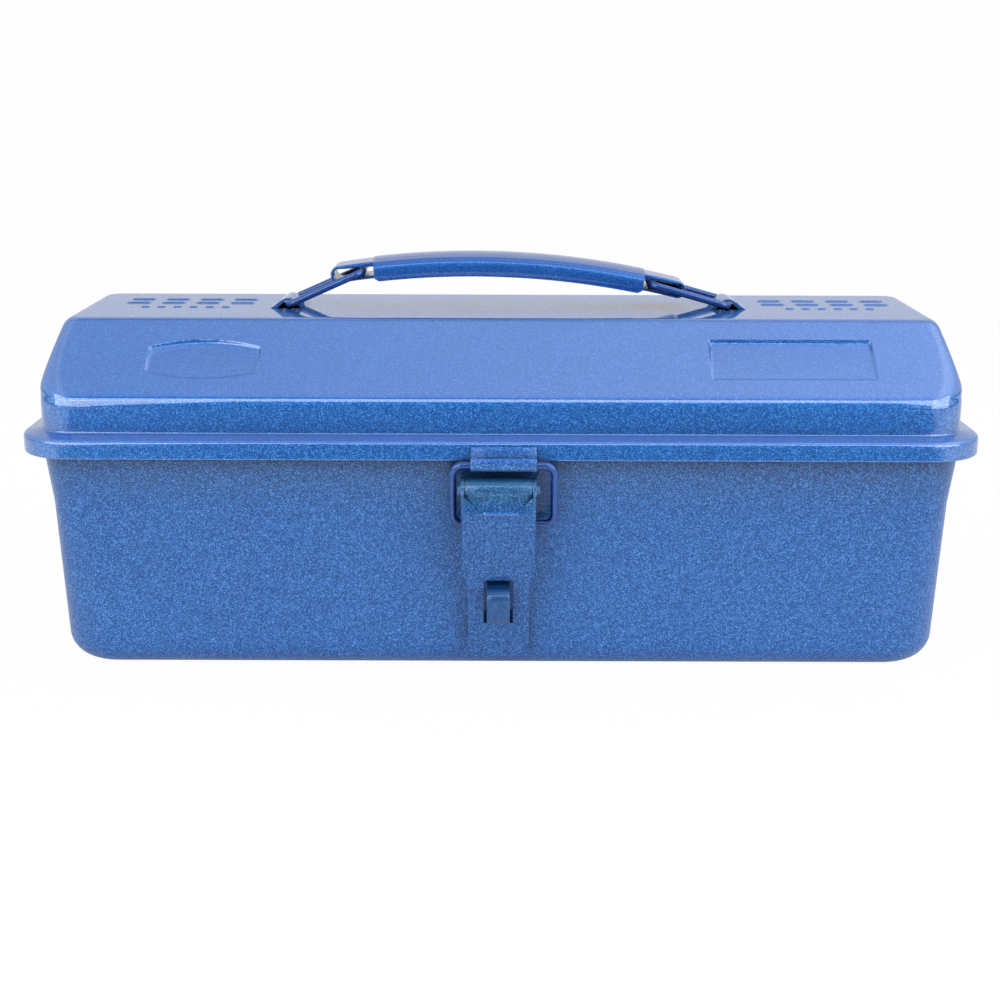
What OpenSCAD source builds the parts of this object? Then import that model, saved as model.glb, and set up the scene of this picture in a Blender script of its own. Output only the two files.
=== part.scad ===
// All-steel toolbox with a pitched lid: a drawn body and lid, a channel grip carried
// by two wire links, an over-centre front latch and two butt hinges at the back.
// Millimetres, +Z up, front towards -Y. The origin is the middle of the floor.

/* [Box] */
// Overall width across the lid rim
rim_w = 359; // [340:1:400]
// Overall depth across the lid rim
rim_d = 150; // [144:1:170]
// Height of the roof above the ground
roof_z = 130.8; // [128:0.2:136]
// Height of the lid's lower edge
parting_z = 84.5; // [83:0.1:87]
// Thickness of the pressed sheet
sheet_t = 1; // [0.8:0.1:1.1]

/* [Body] */
// How far the wall under the rim stands in from the rim's outer face
wall_in = 7; // [6.8:0.1:8]
// Corner radius of the wall under the rim
body_corner_r = 16; // [15:0.5:20]
// Height of the crease where the upper wall starts to flare
crease_z = 64.2; // [61:0.2:66]
// How far the wall at the crease stands in from the wall under the rim
crease_in = 2.4; // [1:0.1:3]
// How far the foot of the wall stands in from the wall under the rim
foot_in = 3; // [2.6:0.1:4]
// Corner radius at the foot of the wall
foot_corner_r = 21.5; // [18:0.5:24]
// Radius of the bend between floor and wall
floor_r = 10.5; // [8:0.5:12]
// Outer radius of the rolled edge that the lid closes over
curl_r = 3.2; // [2.8:0.1:3.3]

/* [Lid] */
// How far the lid's upright band stands in from the rim's outer face
band_in = 7; // [6.5:0.1:8]
// Corner radius of the band
lid_corner_r = 15; // [13:0.5:18]
// Height of the sharp edge between band and front slope
band_z = 105.7; // [104.5:0.1:108]
// Depth of the flat roof between the slopes
roof_d = 70; // [64:1:76]
// Corner radius of the flat roof
roof_corner_r = 5; // [4:0.5:6]
// Radius of the bend between slope and band
band_bend_r = 7; // [5:0.5:8]
// Radius of the bend between roof and slope
roof_bend_r = 6; // [5:0.5:8]
// How far the end walls lean in, from the band up to the roof
end_in = 5.5; // [4:0.1:7]
// Height at which the end walls start to lean
end_z = 109.2; // [108:0.2:111]
// Radius of the bend between roof and end wall
end_bend_r = 4; // [3:0.5:5]
// Radius of the bend at the foot of the end wall's lean
end_low_r = 12; // [8:0.5:14]
// Height of the upright skirt below its bend
skirt_h = 5.5; // [5.3:0.1:6.5]
// Concave radius between band and flange
flange_fillet_r = 2.2; // [1.8:0.1:2.6]
// Convex radius between flange and skirt
skirt_bend_r = 1.8; // [1.5:0.1:2.2]
// Slope of the flange
flange_tilt = 11; // [8:1:18]
// Height of the pressed beads above the sheet, and depth of the pressed panels
bead_h = 0.5; // [0.3:0.1:0.8]
// Width of the pressed beads
bead_w = 1.6; // [1.2:0.1:2]

/* [Handle] */
// How far the handle sits to the right of the middle of the roof
handle_x = 2.8; // [-4:0.1:4]
// Distance from the handle's middle to each eyelet
eyelet_x = 87.4; // [84:0.1:92]
// Diameter of the link wire
link_wire_d = 2.8; // [2.6:0.1:3]
// Distance between the two crossbars of a link
link_len = 32.5; // [32:0.5:34]
// Distance between the two side bars of a link
link_w = 22; // [21:0.5:24]
// Inner bend radius of the link wire
link_bend_r = 2; // [1.5:0.5:3]
// Height of the grip's middle above the links' lower crossbars when the handle rests
grip_rise = 9.3; // [9:0.1:9.8]
// Slope that the loose grip settles at, right end low
grip_tilt = 2.4; // [0:0.1:2.6]
// Length of the grip over its hooked ends
grip_len = 141; // [140:0.5:142]
// Length of the grip's deep flanges
grip_flange_len = 107.4; // [105:0.2:109]
// Width of the grip across its flanges
grip_w = 26; // [24.5:0.5:30]
// Depth of the grip's flanges
grip_flange_h = 8.6; // [8:0.1:9]
// Height of the grip's top above its slots, in the middle
grip_top = 10; // [9.8:0.1:10.4]
// Thickness of the grip's sheet
grip_t = 1.1; // [1:0.1:1.2]
// Outer radius of the curls at the grip's ends
grip_curl_r = 3.3; // [3.2:0.1:3.5]
// Width of the grip's hooked ends
hook_w = 17.6; // [15:0.2:18]

/* [Latch] */
// How far the lever sits to the right of the middle
latch_x = -0.8; // [-1:0.1:1]
// How far the bail and the keeper sit to the right of the middle
keeper_x = 1; // [-0.6:0.1:1]
// Height of the lever's pin
pin_z = 74; // [73.2:0.1:75.2]
// Distance of the pin in front of the wall
pin_out = 9; // [8.8:0.1:9.4]
// Diameter of the pin
pin_d = 3.8; // [3.4:0.1:4]
// Length of the pin
pin_len = 30.4; // [29.8:0.2:31]
// Diameter of the bail wire
bail_wire_d = 2.7; // [2.4:0.1:2.8]
// Outer width of the bail
bail_w = 40.2; // [40:0.2:42]
// Inner bend radius of the bail
bail_bend_r = 2.6; // [2:0.1:2.6]
// Drop of the bail's lower bar below the pin
bail_drop = 14.2; // [14:0.1:14.5]
// How far behind the pin the bail's lower bar lies
bail_behind = 5; // [4.5:0.1:5.2]
// Thickness of the lever's sheet
lever_t = 1.2; // [1:0.1:1.3]
// Width of the lever's flanged part
lever_w = 27.6; // [27:0.2:27.6]
// Width of the lever's lower part
lever_tip_w = 23.1; // [20:0.1:26]
// Width of the hood over the pin
hood_w = 24.4; // [22:0.2:25]
// Width of the lever's upper facet at the bend
facet_w = 12.4; // [9:0.2:16]
// Outer radius of the folds between the lever's front and its flanges
fold_r = 1.3; // [0.8:0.1:1.4]
// Height of the lever's lower end above the ground
lever_foot_z = 7.2; // [6:0.2:11]
// Width of the slot in the lever
slot_w = 11; // [10:0.5:12]
// Height of the slot in the lever
slot_h = 18; // [18:0.5:19]
// Height of the slot's middle
slot_z = 30.3; // [29.8:0.1:30.6]
// Width of the keeper on the skirt
keeper_w = 24.2; // [20:0.2:26]
// Thickness of the keeper's sheet
keeper_t = 0.8; // [0.6:0.1:0.8]
// Width of the padlock staple
staple_w = 8.5; // [7:0.1:9]
// Thickness of the padlock staple
staple_t = 1.5; // [1.2:0.1:1.6]
// How far the staple reaches out from the wall
staple_out = 17.4; // [16.8:0.1:17.6]

/* [Hinges] */
// Distance of each hinge from the middle
hinge_x = 110; // [90:1:125]
// Length of each hinge along its pin
hinge_len = 40; // [36:1:50]
// Diameter of the hinge pin
hinge_pin_d = 2.6; // [2.4:0.1:2.8]
// Thickness of the hinge leaves
leaf_t = 1.2; // [1:0.1:1.3]
// Gap between the skirt's outer face and the hinge axis
hinge_out = 3.3; // [3.2:0.1:3.8]

/* [Clearances] */
// Gap between a pin and its bore, on the radius
pin_gap = 0.1; // [0.05:0.05:0.15]
// Gap between the bail wire and its holes in the lever, on the radius
wire_gap = 0.25; // [0.2:0.05:0.3]
// Gap between two pressed pieces that lie close
sheet_gap = 0.4; // [0.3:0.05:0.5]

/* [Hidden] */
$fn = 64;
little = 0.01;
paint = [0.13, 0.33, 0.72];
paint_light = [0.24, 0.42, 0.78];
paint_deep = [0.09, 0.27, 0.62];
steel = [0.62, 0.64, 0.68];

// Half sizes of the rim, of the body's wall under it and of the lid's band
rim_hw = rim_w / 2;
rim_hd = rim_d / 2;
body_hw = rim_hw - wall_in;
body_hd = rim_hd - wall_in;
lid_hw = rim_hw - band_in;
lid_hd = rim_hd - band_in;

// Flange of the lid: the centres of its two bends, as [outward from the band, height]
flange_run = (band_in - skirt_bend_r - flange_fillet_r
    + (flange_fillet_r + skirt_bend_r) * sin(flange_tilt)) / cos(flange_tilt);
skirt_bend_c = [band_in - skirt_bend_r, parting_z + skirt_h];
fillet_c = [flange_fillet_r, skirt_bend_c[1] + (flange_fillet_r + skirt_bend_r)
    * cos(flange_tilt) + flange_run * sin(flange_tilt)];

// Rolled edge of the body: it stands just inside the skirt and under the flange
curl_x = curl_r - sheet_t;
under_flange_z = fillet_c[1] - (flange_fillet_r + sheet_t) / cos(flange_tilt)
    - (curl_x + band_in - wall_in - flange_fillet_r) * tan(flange_tilt);
curl_z = under_flange_z - (curl_r + sheet_gap) / cos(flange_tilt);
wall_top_z = parting_z - 2;

// A leaning face of the lid is [half size at its foot, height of its foot, angle from
// upright, radius of its upper bend, radius of its lower bend]
slope = atan((roof_z - band_z) / (lid_hd - roof_d / 2));
front_face = [lid_hd, band_z, 90 - slope, roof_bend_r, band_bend_r];
end_face = [lid_hw, end_z, atan(end_in / (roof_z - end_z)), end_bend_r, end_low_r];
function upper_bend(f) =
    [f[0] - (roof_z - f[1]) * tan(f[2]) - f[3] * tan((90 - f[2]) / 2), roof_z - f[3]];
function lower_bend(f) = [f[0] - f[4], f[1] - f[4] * tan(f[2] / 2)];

// Half size of a leaning face at height z, for the skin e inside the outer one
function lean_at(f, z, e) = let (up = upper_bend(f), low = lower_bend(f))
    z > up[1] + (f[3] - e) * sin(f[2])
        ? up[0] + sqrt(max(0, pow(f[3] - e, 2) - pow(z - up[1], 2)))
    : z > low[1] + (f[4] - e) * sin(f[2])
        ? f[0] - (z - f[1]) * tan(f[2]) - e / cos(f[2])
    : z > low[1] ? low[0] + sqrt(pow(f[4] - e, 2) - pow(z - low[1], 2))
    : f[0] - e;

// Handle: rest heights of the slots' middles and the angle that each link stands at
link_bar_z = roof_z + link_wire_d / 2 + 0.1;
grip_z = link_bar_z + grip_rise;
grip_half = grip_len / 2;
grip_arch_r = 340;
grip_hook_a = asin((grip_half - grip_curl_r) / (grip_arch_r - grip_curl_r));
grip_flange_a = asin(grip_flange_len / 2 / grip_arch_r);

// Height of a crossbar in the grip's slot above the slot's end, at distance x from the
// middle, and the link angle found by walking the crossbar to where slot and link meet
bar_drop = 0.3;
function slot_rise(x) = grip_top - x * x / (2 * grip_arch_r) - grip_curl_r - bar_drop;
function link_angle(side, steps = 12, x = 57) =
    let (a = asin((grip_rise + slot_rise(x) - side * x * sin(grip_tilt)) / link_len))
    steps == 0 ? a : link_angle(side, steps - 1, eyelet_x - link_len * cos(a));

// Latch: the pin, the bail's lower bar and the keeper's trough, as [y, z]
pin_c = [-(wall_face(pin_z) + pin_out), pin_z];
bail_low_c = [pin_c[0] + bail_behind, pin_z - bail_drop];
bail_slack = 0.15;
keeper_drop = 1;
bail_top_c = [-(rim_hd + keeper_t + bail_wire_d / 2 + bail_slack), parting_z - keeper_drop];
bail_len = norm(bail_top_c - bail_low_c);
bail_lean = atan2(bail_low_c[0] - bail_top_c[0], bail_top_c[1] - bail_low_c[1]);
bend_z = pin_z - 7.6;
shoulder_z = pin_z - 1.8;
shoulder_t = 3.2;
lever_face_y = pin_c[0] - 6.3;
lever_foot_y = lever_face_y + 12.3;
hood_r = 4.6;
hood_back_a = 48;
knuckle_r = 3;
base_w = 16;
base_h = 24;

// The two pressed panels on the front slope as [x, shift along the slope, width, height,
// how far the long sides bow out], and the places of the beads on the roof
left_frame = [-111.5, -0.5, 42.5, 20, 3.5];
right_frame = [109, 0, 62, 20.5, 0];
roof_bead_x = [-126, 131];

// Hinge: the axis, as [y, z], and the radius of its knuckles
hinge_c = [rim_hd + hinge_out, parting_z + 0.2];
hinge_r = hinge_pin_d / 2 + pin_gap + leaf_t;
hinge_rivet_z = 72.2;
latch_rivet_z = 55.2;
rivet_r = 1.5;

// Distance of the body's outer wall face from the middle plane, at height z
function wall_off(z) = z > crease_z
    ? -crease_in * (wall_top_z - z) / (wall_top_z - crease_z)
    : -crease_in - (foot_in - crease_in) * (crease_z - z) / (crease_z - floor_r);
function wall_face(z) = body_hd + wall_off(z);
function wall_lean(z) = z > crease_z
    ? atan(crease_in / (wall_top_z - crease_z))
    : atan((foot_in - crease_in) / (crease_z - floor_r));

// Points of an arc about c
function arc(c, r, a0, a1, n) =
    [for (i = [0:n]) let (a = a0 + (a1 - a0) * i / n) c + r * [cos(a), sin(a)]];
function reverse(p) = [for (i = [len(p) - 1:-1:0]) p[i]];

// A path thickened into a strip of sheet, with mitred bends
function along(p, i) = (p[i + 1] - p[i]) / norm(p[i + 1] - p[i]);
function left_of(v) = [-v[1], v[0]];
function beside(p, i, h) =
    let (a = left_of(along(p, max(i - 1, 0))), b = left_of(along(p, min(i, len(p) - 2))))
    p[i] + 2 * h * (a + b) / ((a + b) * (a + b));
function strip(p, t) = concat(
    [for (i = [0:len(p) - 1]) beside(p, i, t / 2)],
    [for (i = [len(p) - 1:-1:0]) beside(p, i, -t / 2)]);

// A sheet of thickness t that lies on the outside of the front wall between heights
module wall_sheet(heights, t) {
    face = [for (z = heights) [-wall_face(z), z]];
    polygon(concat(face, [for (i = [len(face) - 1:-1:0]) beside(face, i, t)]));
}

// A profile drawn in [y, z], run along X
module along_x(x0, x1) {
    translate([x0, 0, 0]) rotate([90, 0, 90]) linear_extrude(x1 - x0) children();
}

// A rod along X
module rod_x(x0, x1, d) {
    translate([x0, 0, 0]) rotate([0, 90, 0]) cylinder(d = d, h = x1 - x0);
}

// A closed ring of wire in the XY plane, from x = 0 to x = len, centred on Y
module wire_ring(len, width, bend, d) {
    r = bend + d / 2;
    for (s = [-1, 1]) {
        translate([0, s * width / 2, 0]) rod_x(r, len - r, d);
    }
    for (x = [0, len]) {
        translate([x, width / 2 - r, 0]) rotate([90, 0, 0])
            cylinder(d = d, h = width - 2 * r);
    }
    for (q = [0:3]) {
        right = q == 0 || q == 3;
        up = q < 2;
        translate([right ? len - r : r, (up ? 1 : -1) * (width / 2 - r), 0])
            rotate(90 * q) rotate_extrude(angle = 90) translate([r, 0]) circle(d = d);
    }
}

// Body: one face of the sheet, from the floor up the wall and round the rolled edge.
// e = 0 is the outer face and e = sheet_t the inner one. The corners are fuller at the foot.
function body_path(e) = concat(
    arc([-foot_in - floor_r, floor_r], floor_r - e, -90, 0, 7),
    [[-crease_in - e, crease_z], [-e, wall_top_z]],
    arc([curl_x, curl_z], curl_x + e, 180, -80, 13));
function fuller(z) = max(0, min(1, (crease_z - z) / (crease_z - floor_r)))
    * (foot_corner_r - body_corner_r + foot_in);
function body_levels(e) = [for (p = body_path(e))
    [body_hw + p[0], body_hd + p[0], body_corner_r + p[0] + fuller(p[1]), p[1]]];

module body_shell() color(paint_light) {
    difference() {
        skin(concat(body_levels(0), reverse(body_levels(sheet_t))));
        latch_rivet_places() cylinder(r = rivet_r, h = 6, center = true);
        hinge_rivet_places() cylinder(r = rivet_r, h = 6, center = true);
    }
}

// Corner radius of the lid at height z: small on the hips, full at the band
function lid_corner(z) = let (k = min(1, (roof_z - z) / (roof_z - band_z)))
    roof_corner_r + (lid_corner_r - roof_corner_r) * pow(k, 3);
function lid_level(z, e) =
    [lean_at(end_face, z, e), lean_at(front_face, z, e), lid_corner(z) - e, z];

// Levels of the lid from roof to skirt, each as [half width, half depth, corner, height]
function lid_levels(e) = concat(
    [for (a = [0:15:75])
        lid_level(roof_z - end_bend_r + (end_bend_r - e) * cos(a), e)],
    [for (k = [0.32, 0.48, 0.62, 0.74]) lid_level(roof_z - k * (roof_z - band_z), e)],
    [for (k = [1, 0.5])
        lid_level(lower_bend(end_face)[1] + k * (end_low_r - e) * sin(end_face[2]), e)],
    [for (p = arc(lower_bend(front_face), band_bend_r - e, 90 - slope, 0, 4))
        lid_level(p[1], e)],
    [for (p = concat(
        arc(fillet_c, flange_fillet_r + e, 180, 270 - flange_tilt, 4),
        arc(skirt_bend_c, skirt_bend_r - e, 90 - flange_tilt, 0, 4),
        [[band_in - e, parting_z]]))
        [lid_hw + p[0], lid_hd + p[0], lid_corner_r + p[0], p[1]]]);

// One level as a ring of points, and a closed skin through a list of rings
corner_steps = 7;
function ring(l) = [for (q = [0:3], i = [0:corner_steps])
    let (a = 90 * (q + i / corner_steps), x = q == 0 || q == 3 ? 1 : -1, y = q < 2 ? 1 : -1)
    [x * (l[0] - l[2]) + l[2] * cos(a), y * (l[1] - l[2]) + l[2] * sin(a), l[3]]];

module skin(levels) {
    n = 4 * (corner_steps + 1);
    last = len(levels) - 1;
    polyhedron(
        points = [for (l = levels) each ring(l)],
        faces = concat(
            [[for (i = [0:n - 1]) i]],
            [for (k = [0:last - 1], i = [0:n - 1]) let (j = (i + 1) % n)
                each [[k * n + i, (k + 1) * n + i, k * n + j],
                    [k * n + j, (k + 1) * n + i, (k + 1) * n + j]]],
            [[for (i = [n - 1:-1:0]) last * n + i]]),
        convexity = 8);
}

// Eyelet: a strip of the roof lanced free and pressed up into a low tunnel along Y
eyelet_half = 5.2;
eyelet_h = 4.3;
eyelet_len = 17;
eyelet_r = (eyelet_half * eyelet_half + eyelet_h * eyelet_h) / (2 * eyelet_h);
module eyelet_outline(e) {
    intersection() {
        translate([0, roof_z + eyelet_h - eyelet_r]) circle(eyelet_r - e);
        translate([-eyelet_half * 2, roof_z - sheet_t + e])
            square([eyelet_half * 4, eyelet_h * 2]);
    }
}

// A run of the front slope's own plane: children are drawn with X along the slope's
// width, Y up the slope from its middle and Z out of it
module on_front_slope() {
    mid = [(lid_hd + roof_d / 2) / 2, (band_z + roof_z) / 2];
    translate([0, -mid[0], mid[1]]) rotate([slope, 0, 0]) children();
}

// Outline of a bead frame: round corners, and its two long sides bowed out by bow
module frame_outline(w, h, bow) {
    side_r = bow > 0 ? (w * w / 4 + bow * bow) / (2 * bow) : 0;
    corner = 2;
    if (bow > 0) {
        intersection() {
            translate([0, h / 2 - side_r]) circle(side_r, $fn = 360);
            translate([0, side_r - h / 2]) circle(side_r, $fn = 360);
            square([w, h + 2 * bow], center = true);
        }
    } else {
        square([w, h - 2 * corner], center = true);
        square([w - 2 * corner, h], center = true);
        for (x = [-1, 1], y = [-1, 1])
            translate([x * (w / 2 - corner), y * (h / 2 - corner)]) circle(corner, $fn = 24);
    }
}

// A pressed panel, drawn for the cut in the outer face or for the pad inside the sheet
module pressed_panels(from, to) {
    on_front_slope() for (f = [left_frame, right_frame])
        translate([f[0], f[1], from]) linear_extrude(to - from)
            frame_outline(f[2], f[3], f[4]);
}

// A row of short bars and a row of round pips pressed up in the roof, about x
module roof_beads(x) {
    bars = 4;
    bar_pitch = 15;
    bar_len = 7;
    bar_y = 12;
    pips = 6;
    pip_pitch = 7;
    pip_y = -8;
    translate([x, 0, roof_z - sheet_t / 2]) linear_extrude(sheet_t / 2 + bead_h) {
        for (i = [0:bars - 1]) translate([(i - (bars - 1) / 2) * bar_pitch, bar_y]) {
            square([bar_len, 2 * bead_w], center = true);
            for (e = [-1, 1]) translate([e * bar_len / 2, 0]) circle(bead_w, $fn = 24);
        }
        for (i = [0:pips - 1]) translate([(i - (pips - 1) / 2) * pip_pitch, pip_y])
            circle(bead_w, $fn = 24);
    }
}

module lid_shell() color(paint) {
    difference() {
        union() {
            skin(concat(lid_levels(sheet_t), reverse(lid_levels(0))));
            for (s = [-1, 1]) translate([handle_x + s * eyelet_x, eyelet_len / 2, 0])
                rotate([90, 0, 0]) linear_extrude(eyelet_len) eyelet_outline(0);
            pressed_panels(-sheet_t - bead_h, -sheet_t / 2);
            for (x = roof_bead_x) roof_beads(x);
        }
        for (s = [-1, 1]) translate([handle_x + s * eyelet_x, eyelet_len / 2 + 2, 0])
            rotate([90, 0, 0]) linear_extrude(eyelet_len + 4) eyelet_hollow();
    }
}

// The hollow under the lanced strip, open below, and past its two cut edges
module eyelet_hollow() {
    hollow_half = eyelet_half - sheet_t;
    intersection() {
        translate([0, roof_z + eyelet_h - eyelet_r]) circle(eyelet_r - sheet_t);
        translate([-hollow_half, roof_z - 2 * sheet_t]) square([2 * hollow_half, 20]);
    }
    translate([-hollow_half, roof_z - 2 * sheet_t]) square([2 * hollow_half, 2.5 * sheet_t]);
}

// Grip: sections drawn in [radial, across], carried along the arch from a0 to a1
module carry_arch(a0, a1) {
    translate([0, 0, grip_top - grip_arch_r]) rotate([90, 0, 0]) rotate(90 - a1)
        rotate_extrude(angle = a1 - a0, $fn = 360) translate([grip_arch_r, 0]) children();
}

// Channel section: flanges of depth h, a rounded shoulder and a crowned top
function channel_path(half_w, h, shoulder, crown, e) = concat(
    [[-h, -half_w + e]],
    arc([-shoulder - crown, -half_w + shoulder], shoulder - e, -90, -8, 4),
    [[-e, 0]],
    arc([-shoulder - crown, half_w - shoulder], shoulder - e, 8, 90, 4),
    [[-h, half_w - e]]);

module channel_section(half_w, h, shoulder, crown) {
    polygon(concat(channel_path(half_w, h, shoulder, crown, 0),
        reverse(channel_path(half_w, h, shoulder, crown, grip_t))));
}

// The right end of the grip in [x, z]: a strip that follows the arch a little below the
// channel's crown, curls under and runs back as a short tongue. Its edges turn down.
hook_step = 0.15;
hook_rim_h = 1.6;
channel_lift = 0.8;
channel_shoulder_r = 3.2;
channel_dome = 1;
tongue_a = grip_flange_a - 1;
module hook_outline() {
    mid = grip_arch_r - hook_step - grip_t / 2;
    bend = grip_curl_r - grip_t / 2;
    arch_c = [0, grip_top - grip_arch_r];
    curl_c = arch_c + (mid - bend) * [sin(grip_hook_a), cos(grip_hook_a)];
    polygon(strip(concat(
        arc(arch_c, mid, 90.6 - grip_flange_a, 90 - grip_hook_a, 4),
        [for (i = [1:11]) curl_c + bend * [cos(90 - grip_hook_a - 15 * i),
            sin(90 - grip_hook_a - 15 * i)]],
        arc(arch_c, mid - 2 * bend, 90 - grip_hook_a, 90 - tongue_a, 4)), grip_t));
}

module handle_grip() color(paint) {
    translate([handle_x, 0, grip_z]) rotate([0, grip_tilt, 0]) {
        carry_arch(-grip_flange_a, grip_flange_a) translate([channel_lift, 0])
            channel_section(grip_w / 2, grip_flange_h, channel_shoulder_r, channel_dome);
        for (s = [0, 1]) mirror([s, 0, 0]) {
            translate([0, hook_w / 2, 0])
                rotate([90, 0, 0]) linear_extrude(hook_w) hook_outline();
            carry_arch(grip_flange_a - 0.6, grip_hook_a - 0.2) for (side = [0, 1])
                mirror([0, side]) translate([-hook_rim_h, hook_w / 2 - 1])
                    square([hook_rim_h - 0.5, 1.1]);
        }
    }
}

// Links: side is -1 for the left one and 1 for the right one
module handle_link(side) {
    translate([handle_x + side * eyelet_x, 0, link_bar_z])
        mirror([side > 0 ? 1 : 0, 0, 0]) rotate([0, -link_angle(side), 0])
            wire_ring(link_len, link_w, link_bend_r, link_wire_d);
}

module handle_link_left() color(paint_deep) handle_link(-1);
module handle_link_right() color(paint_deep) handle_link(1);

// Keeper: a strip welded to the skirt and turned up into a trough for the bail
module latch_keeper() color(paint) {
    trough_r = bail_wire_d / 2 + bail_slack + keeper_t / 2;
    path = concat(
        [[-rim_hd - keeper_t / 2, parting_z + skirt_h]],
        arc(bail_top_c, trough_r, 0, -180, 8),
        [[bail_top_c[0] - trough_r, bail_top_c[1] + 3]]);
    along_x(keeper_x - keeper_w / 2, keeper_x + keeper_w / 2) polygon(strip(path, keeper_t));
}

// Base of the latch: a plate that follows the wall, with a knuckle carried out in front
module latch_base() color(paint_deep) translate([latch_x, 0, 0]) base_sheet();
module base_sheet() {
    low = pin_z - base_h;
    arm = crease_z + 1.6;
    difference() {
        union() {
            along_x(-base_w / 2, base_w / 2) wall_sheet([low, crease_z, arm], lever_t);
            along_x(-base_w / 2, base_w / 2) translate(pin_c) circle(knuckle_r);
            along_x(-base_w / 2, base_w / 2)
                polygon(strip([[-wall_face(arm - 0.8) - lever_t / 2, arm - 0.8],
                    [pin_c[0] + 1, pin_z - knuckle_r + lever_t / 2]], lever_t));
        }
        along_x(-base_w, base_w) translate(pin_c) circle(d = pin_d + 2 * pin_gap);
        translate([-latch_x, 0, 0]) latch_rivet_places()
            cylinder(r = rivet_r, h = 6, center = true);
    }
}

// A rivet along Z, its head on a plate of thickness plate and its tail inside the wall
module rivet(plate) {
    head_r = 2.8;
    head_h = 1.1;
    ball_r = (head_r * head_r + head_h * head_h) / (2 * head_h);
    translate([0, 0, -sheet_t - 0.9]) cylinder(r = 2.3, h = 0.9);
    translate([0, 0, -sheet_t - little]) cylinder(r = rivet_r, h = sheet_t + plate + 2 * little);
    translate([0, 0, plate]) intersection() {
        translate([0, 0, head_h - ball_r]) sphere(ball_r, $fn = 48);
        cylinder(r = head_r, h = head_h + 1);
    }
}

// Children stand on the front wall, with Z out of it
module on_front_wall(x, z) {
    translate([x, -wall_face(z), z]) rotate([90 + wall_lean(z), 0, 0]) children();
}

module latch_rivet_places() {
    for (s = [-1, 1]) on_front_wall(latch_x + s * 4.5, latch_rivet_z) children();
}

module latch_rivets() color(paint_deep) latch_rivet_places() rivet(lever_t);

module latch_pin() color(steel) {
    end = 0.4;
    translate([latch_x, pin_c[0], pin_c[1]]) {
        rod_x(-pin_len / 2 + end, pin_len / 2 - end, pin_d);
        for (s = [-1, 1]) translate([s * (pin_len / 2 - end), 0, 0]) rotate([0, s * 90, 0])
            cylinder(d1 = pin_d, d2 = pin_d - 2 * end, h = end);
    }
}

// Lever: the outer face of the front sheet below its bend, at height z
function lever_face(z) = lever_face_y
    + (lever_foot_y - lever_face_y) * (bend_z - z) / (bend_z - lever_foot_z);

module lever_sheet_outline() {
    hood = arc(pin_c, hood_r - lever_t / 2, hood_back_a, 205, 12);
    face = [[lever_face_y + lever_t / 2, bend_z],
        [lever_foot_y + lever_t / 2, lever_foot_z]];
    polygon(strip(concat(hood, face), lever_t));
}

// Side flange in [y, z]: it carries the pin and the bail's lower bar
flange_end_z = 45.2;
taper_end_z = 35.7;
module lever_flange_outline() {
    back = bail_low_c[0] + bail_wire_d / 2 + 1.5;
    difference() {
        union() {
            translate(pin_c) circle(hood_r);
            polygon([[lever_face_y, shoulder_z], [pin_c[0] - 4, pin_z + 1.6],
                [pin_c[0] - 2, pin_z + 3], [pin_c[0] + 3.6, pin_z + 2.4],
                [back, bail_low_c[1] + 3], [back, bail_low_c[1] - 3],
                [lever_face(flange_end_z) + lever_t, flange_end_z + 1],
                [lever_face(flange_end_z) + 0.2, flange_end_z + 1], [lever_face_y, bend_z]]);
        }
        translate(pin_c) circle(d = pin_d + 2 * pin_gap);
        translate(bail_low_c) circle(d = bail_wire_d + 2 * wire_gap);
    }
}

// Front view of the lever in [x, z], which trims the sheet: the facet widens upwards from
// the bend to the hood, and reaches a little under the shoulders beside it
module lever_front_outline() {
    under = 0.4;
    corner = 2.5;
    tip = lever_tip_w / 2;
    translate([-lever_w / 2, flange_end_z]) square([lever_w, bend_z - flange_end_z]);
    polygon([for (s = [1, -1], p = s > 0
        ? [[facet_w / 2 + under, bend_z - 1], [hood_w / 2, shoulder_z], [hood_w / 2, rim_d]]
        : [[hood_w / 2, rim_d], [hood_w / 2, shoulder_z], [facet_w / 2 + under, bend_z - 1]])
        [s * p[0], p[1]]]);
    polygon([[-lever_w / 2, flange_end_z + little], [lever_w / 2, flange_end_z + little],
        [tip, taper_end_z], [tip, lever_foot_z + corner - 1],
        [-tip, lever_foot_z + corner - 1], [-tip, taper_end_z]]);
    translate([-tip + corner, lever_foot_z - 1])
        square([lever_tip_w - 2 * corner, taper_end_z - lever_foot_z]);
    for (s = [-1, 1]) translate([s * (tip - corner), lever_foot_z + corner - 0.4])
        circle(corner);
}

// Shoulders: the upper corners of the lever's front, left standing beside the facet
module lever_shoulders() {
    y = lever_face_y;
    intersection() {
        along_x(-lever_w / 2, lever_w / 2) polygon([[y, bend_z], [y, shoulder_z],
            [y + shoulder_t, shoulder_z], [y + shoulder_t, bend_z + 0.5],
            [y + 0.9, bend_z - 1]]);
        for (s = [0, 1]) mirror([s, 0, 0]) rotate([90, 0, 0]) linear_extrude(rim_hd + 20)
            polygon([[facet_w / 2, bend_z - 2], [facet_w / 2, bend_z],
                [hood_w / 2, shoulder_z], [hood_w / 2, shoulder_z + 1],
                [lever_w / 2, shoulder_z + 1], [lever_w / 2, bend_z - 2]]);
    }
}

// Cutter that rounds the two folds of the front, along a run of its outer face from
// a to b, each as [y, z]
module fold_cutter(a, b) {
    edge = lever_w / 2;
    d = b - a;
    translate([0, a[0], a[1]]) rotate([atan2(-d[0], d[1]), 0, 0]) linear_extrude(norm(d))
        for (s = [0, 1]) mirror([s, 0]) polygon(concat(
            arc([edge - fold_r, fold_r], fold_r, -90, 0, 4),
            [[edge + 1, fold_r], [edge + 1, -1], [edge - fold_r, -1]]));
}

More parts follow.
